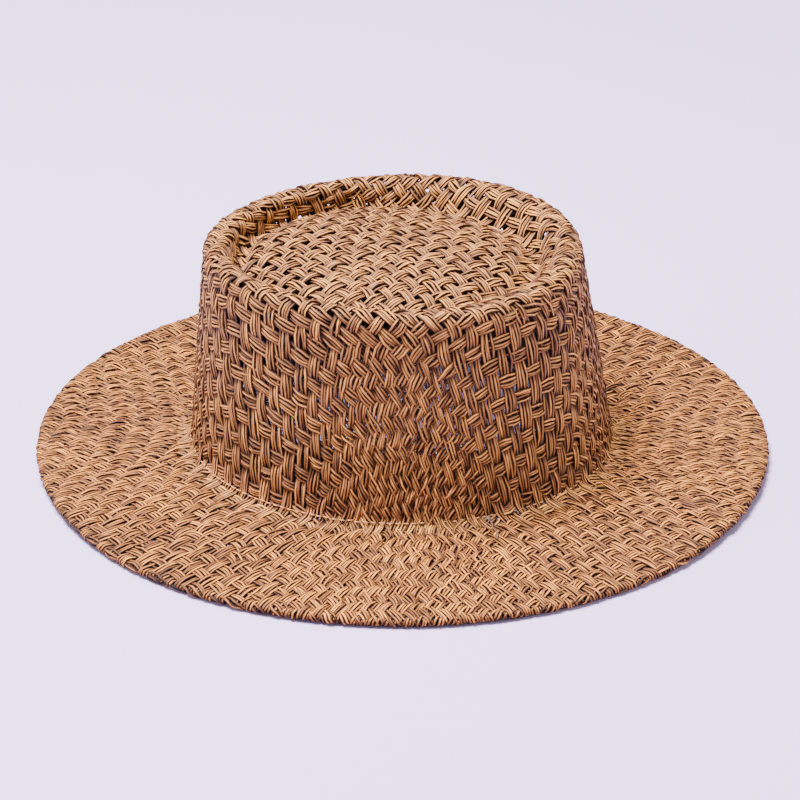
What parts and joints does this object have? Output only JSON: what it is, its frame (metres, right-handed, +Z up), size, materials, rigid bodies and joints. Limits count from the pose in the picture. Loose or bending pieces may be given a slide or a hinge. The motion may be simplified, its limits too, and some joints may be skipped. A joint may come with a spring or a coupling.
{
  "type": "straw hat with a telescope crown",
  "caption": "Woven straw hat: tall near-upright crown with a rounded rim around a sunk channel and low domed tip, wide flat brim with a turned hem, dark sweatband inside.",
  "frame": {"origin": "middle of the brim, on the surface that the hat rests on", "axes": "+X along the hat's long way, to the right in the picture; -Y towards the viewer; +Z up through the tip"},
  "size_m": [0.359, 0.324, 0.11],
  "materials": {
    "crown_straw": "woven natural straw, matt",
    "brim_straw": "woven natural straw, matt",
    "sweatband_cloth": "black woven cloth, matt"
  },
  "bodies": {
    "root": {"crown": "crown_straw", "brim": "brim_straw", "sweatband": "sweatband_cloth"}
  },
  "joints": []
}
